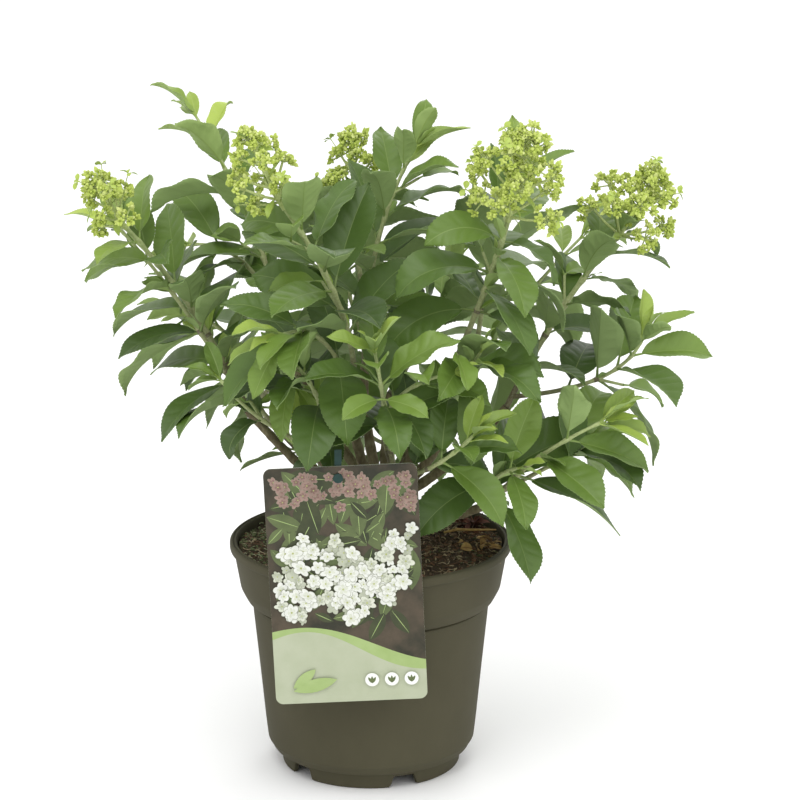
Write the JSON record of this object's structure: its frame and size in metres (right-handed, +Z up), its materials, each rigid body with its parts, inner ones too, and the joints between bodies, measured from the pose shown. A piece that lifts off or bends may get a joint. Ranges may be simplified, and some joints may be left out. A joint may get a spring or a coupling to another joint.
{
  "type": "potted panicle hydrangea",
  "caption": "Compact panicle hydrangea shrub in a round nursery pot: leafy upright shoots from a short woody crown, young flower heads on top and a plant label hung at the rim.",
  "frame": {"origin": "centre of the pot's flat underside, at ground level", "axes": "+Z up, -Y towards the plant label and the front of the plant, +X to the plant's right as seen from the front"},
  "size_m": [0.4356, 0.3386, 0.4582],
  "materials": {
    "pot_plastic": "taupe grey-brown moulded plastic, slightly satin",
    "soil": "dark brown potting compost, fibrous, with moss at the left",
    "card": "thin printed plastic card, pale green with a dark leafy picture of white blossom",
    "holder_plastic": "dark teal moulded plastic",
    "bark": "brown bark, rough and flaking on the old wood",
    "foliage": "mid-green toothed leaves with sunken veins, paler below, lime green young tips and buds"
  },
  "bodies": {
    "root": {"pot": "pot_plastic", "soil": "soil", "label_card": "card", "label_holder": "holder_plastic", "root_crown": "bark", "bough_left": "bark", "bough_upper_left": "bark", "bough_centre_left": "bark", "bough_centre": "bark", "bough_right_centre": "bark", "bough_right": "bark", "bough_low_right": "bark", "bough_front": "bark", "bough_front_left": "bark", "bough_back_right": "bark", "bough_back": "bark", "bough_back_left": "bark", "bough_low_back": "bark", "bough_low_left": "bark", "foliage_left": "foliage", "foliage_upper_left": "foliage", "foliage_centre_left": "foliage", "foliage_centre": "foliage", "foliage_right_centre": "foliage", "foliage_right": "foliage", "foliage_low_right": "foliage", "foliage_front": "foliage", "foliage_front_left": "foliage", "foliage_back_right": "foliage", "foliage_back": "foliage", "foliage_back_left": "foliage", "foliage_low_back": "foliage", "foliage_low_left": "foliage"}
  },
  "joints": []
}
